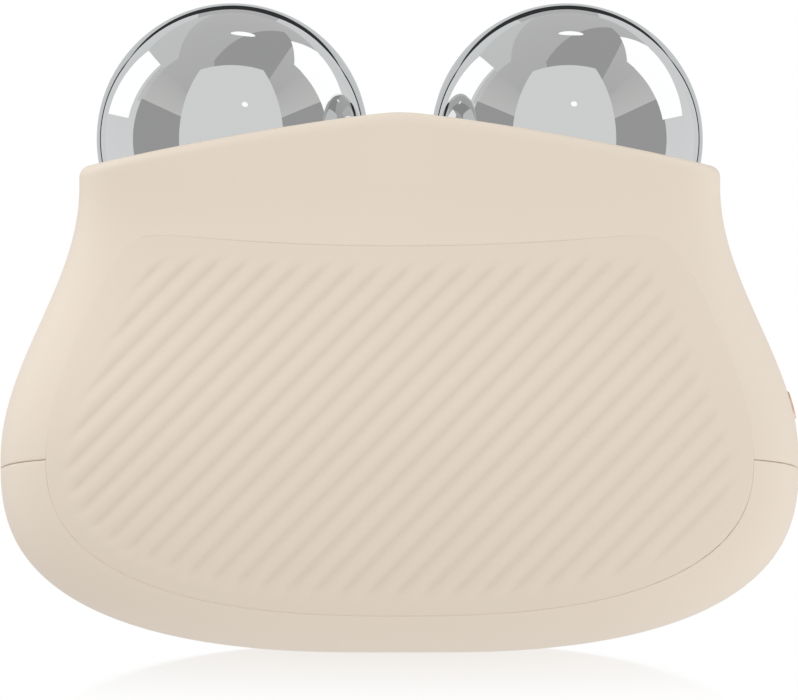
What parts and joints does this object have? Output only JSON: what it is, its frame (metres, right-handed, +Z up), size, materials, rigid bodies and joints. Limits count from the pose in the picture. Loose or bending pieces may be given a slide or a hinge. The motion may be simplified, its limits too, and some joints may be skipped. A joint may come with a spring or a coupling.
{
  "type": "facial toning device",
  "caption": "Hand-held facial toning device: a beige bell-shaped moulded body with a ribbed grip panel, mirror-bright metal balls on top and press buttons.",
  "frame": {"origin": "middle of the flat foot, in the plane of the ball centres' symmetry", "axes": "+Z up, +Y out of the ribbed grip, -Y out of the power button, -X out of the side button"},
  "size_m": [0.0742, 0.0373, 0.06],
  "materials": {
    "soft_touch_shell": "warm beige moulded plastic with a fine soft-touch matt coat",
    "grip_rubber": "beige overmoulded silicone, matt, with slanting ribs",
    "ball_chrome": "mirror-bright plated metal",
    "seat_plastic": "beige moulded insulating plastic, satin",
    "steel": "plated steel",
    "tinned_brass": "stamped sheet, tinned",
    "lead_jacket": "thin extruded jacket, red or black",
    "frame_plastic": "dark moulded plastic",
    "board_laminate": "green solder mask on glass laminate",
    "chip_resin": "black moulded resin",
    "ferrite": "sintered ferrite",
    "can_aluminium": "drawn aluminium can",
    "led_resin": "moulded lens over a white package",
    "clear_guide": "clear acrylic, flame polished",
    "plunger_plastic": "moulded plastic",
    "button_plastic": "beige moulded plastic, matt",
    "copper_trim": "copper-tinted plated trim, satin",
    "ribbon_film": "amber polyimide film",
    "cell_pouch": "aluminium laminate pouch",
    "foam": "soft closed-cell foam",
    "connector_nylon": "natural nylon"
  },
  "bodies": {
    "main": {"upper_housing": "soft_touch_shell", "lower_housing": "soft_touch_shell", "grip_panel": "grip_rubber", "left_ball": "ball_chrome", "right_ball": "ball_chrome", "left_ball_seat": "seat_plastic", "right_ball_seat": "seat_plastic", "ball_screws": "steel", "ball_terminals": "tinned_brass", "left_ball_lead": "lead_jacket", "right_ball_lead": "lead_jacket", "inner_frame": "frame_plastic", "main_board": "board_laminate", "controller_chip": "chip_resin", "boost_inductor": "ferrite", "output_capacitors": "can_aluminium", "buzzer": "chip_resin", "indicator_leds": "led_resin", "light_guide": "clear_guide", "power_switch": "chip_resin", "power_button_ring": "copper_trim", "side_button_ring": "copper_trim", "side_switch": "chip_resin", "side_board": "board_laminate", "side_ribbon": "ribbon_film", "battery": "cell_pouch", "battery_pad": "foam", "battery_leads": "lead_jacket", "battery_connector": "connector_nylon", "charge_port": "steel", "charge_port_tongue": "chip_resin", "housing_screws": "steel", "board_screws": "steel"},
    "power_key": {"power_button": "button_plastic", "power_switch_plunger": "plunger_plastic"},
    "side_key": {"side_button": "button_plastic", "side_switch_plunger": "plunger_plastic"}
  },
  "joints": [
    {"name": "power_press", "type": "slide", "parent": "main", "child": "power_key", "axis": [0, 0.9941, -0.1083], "range_m": [0, 0.0005], "stiffness_N_per_m": 2000, "springref_m": -0.0005},
    {"name": "side_press", "type": "slide", "parent": "main", "child": "side_key", "axis": [0.9664, 0, -0.2571], "range_m": [0, 0.0004], "stiffness_N_per_m": 2000, "springref_m": -0.0005}
  ]
}
